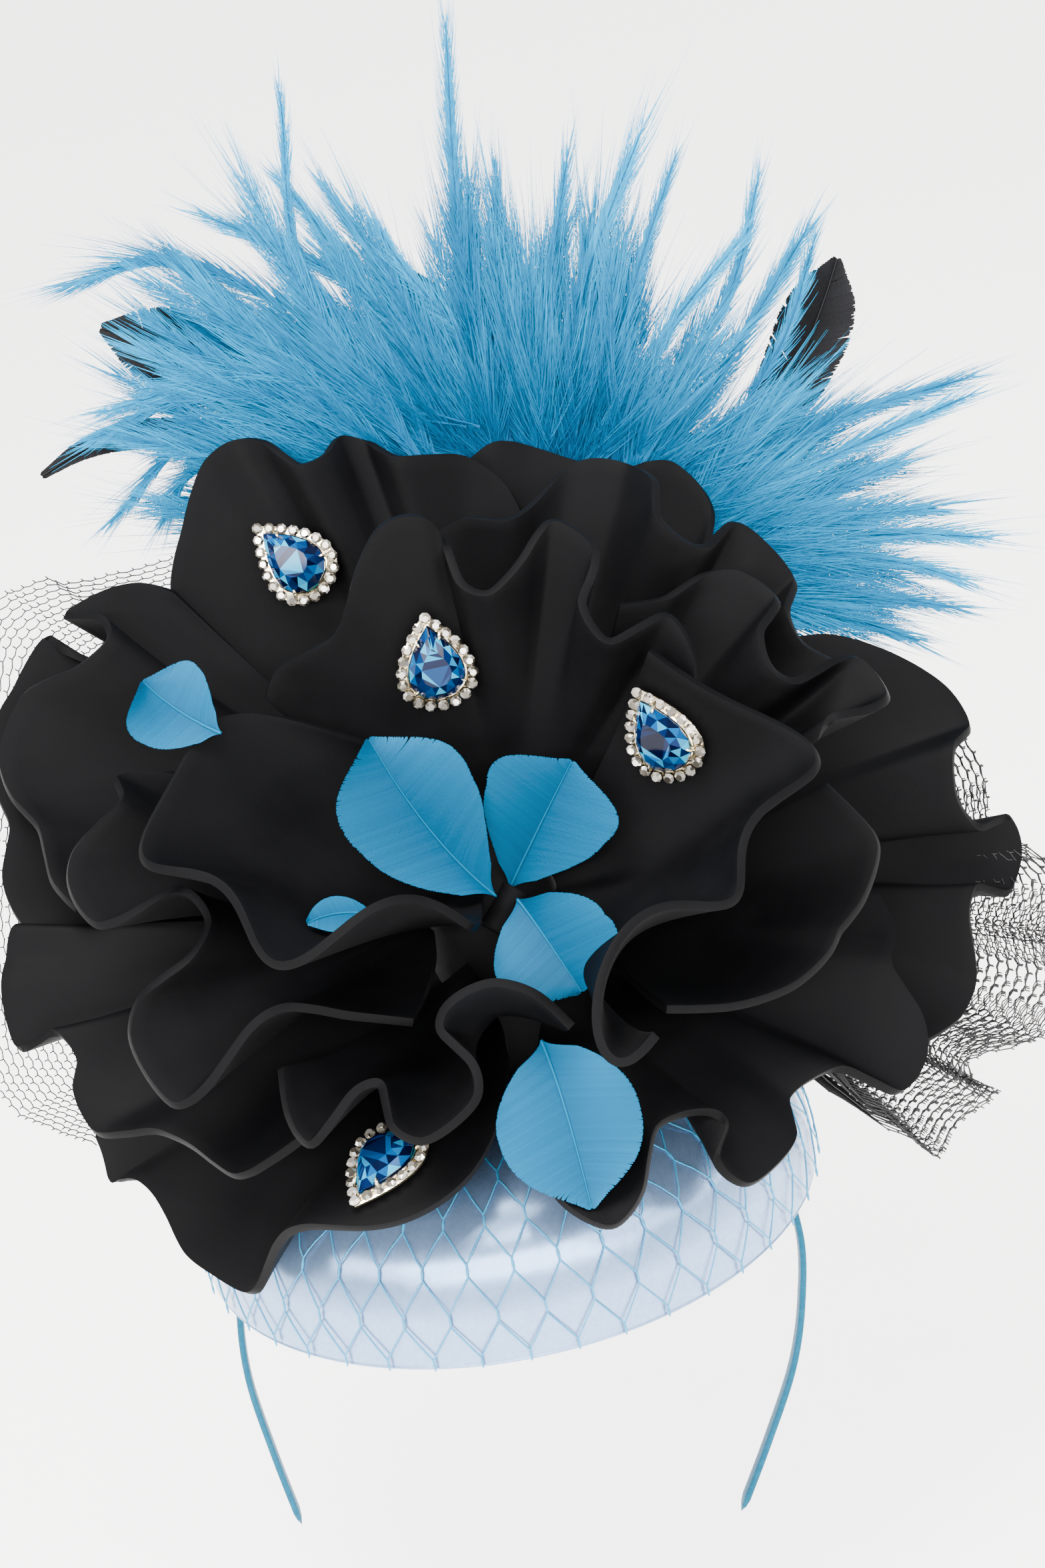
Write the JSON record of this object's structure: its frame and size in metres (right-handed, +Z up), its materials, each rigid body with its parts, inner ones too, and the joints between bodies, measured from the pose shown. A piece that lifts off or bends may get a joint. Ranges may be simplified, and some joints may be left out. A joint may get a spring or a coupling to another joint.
{
  "type": "fascinator",
  "caption": "Pillbox fascinator with a ruffled black foam flower, drop brooches, blue feather plume, veiled satin cap and hairband.",
  "frame": {"origin": "centre of the cap's rim, where the head takes the cap", "axes": "+Z up along the cap's axis, -Y to the front, +X to the right as seen from the front"},
  "size_m": [0.2797, 0.2146, 0.3729],
  "materials": {
    "satin": "pale ice-blue satin with a soft sheen",
    "veil": "light turquoise veiling net",
    "ribbon": "turquoise ribbon",
    "foam": "matt black foam sheet",
    "leaf": "trimmed blue feather",
    "plume": "turquoise feather",
    "black_feather": "trimmed black feather",
    "net": "stiff black net",
    "stone": "cut blue glass, foiled behind",
    "gilt": "pale gilt with clear crystals"
  },
  "bodies": {
    "root": {"cap": "satin", "veil": "veil", "headband": "ribbon", "flower_core": "foam", "petal_back_top": "foam", "petal_back_left": "foam", "petal_right": "foam", "petal_upper_left": "foam", "petal_left": "foam", "petal_bottom_left": "foam", "petal_lower_left": "foam", "petal_lower_right": "foam", "petal_middle_top": "foam", "petal_middle_right": "foam", "petal_middle_lower_right": "foam", "petal_middle_left": "foam", "petal_middle_bottom": "foam", "petal_inner_top": "foam", "petal_inner_right": "foam", "petal_inner_left": "foam", "leaf_feather_left": "leaf", "leaf_feather_right": "leaf", "leaf_feather_low": "leaf", "leaf_feather_bottom": "leaf", "leaf_feather_far_left": "leaf", "leaf_feather_small": "leaf", "black_feather_left": "black_feather", "black_feather_far_left": "black_feather", "black_feather_back": "black_feather", "black_feather_right": "black_feather", "plume": "plume", "net_right": "net", "net_left": "net", "brooch_1_setting": "gilt", "brooch_1_stone": "stone", "brooch_2_setting": "gilt", "brooch_2_stone": "stone", "brooch_3_setting": "gilt", "brooch_3_stone": "stone", "brooch_4_setting": "gilt", "brooch_4_stone": "stone"}
  },
  "joints": []
}
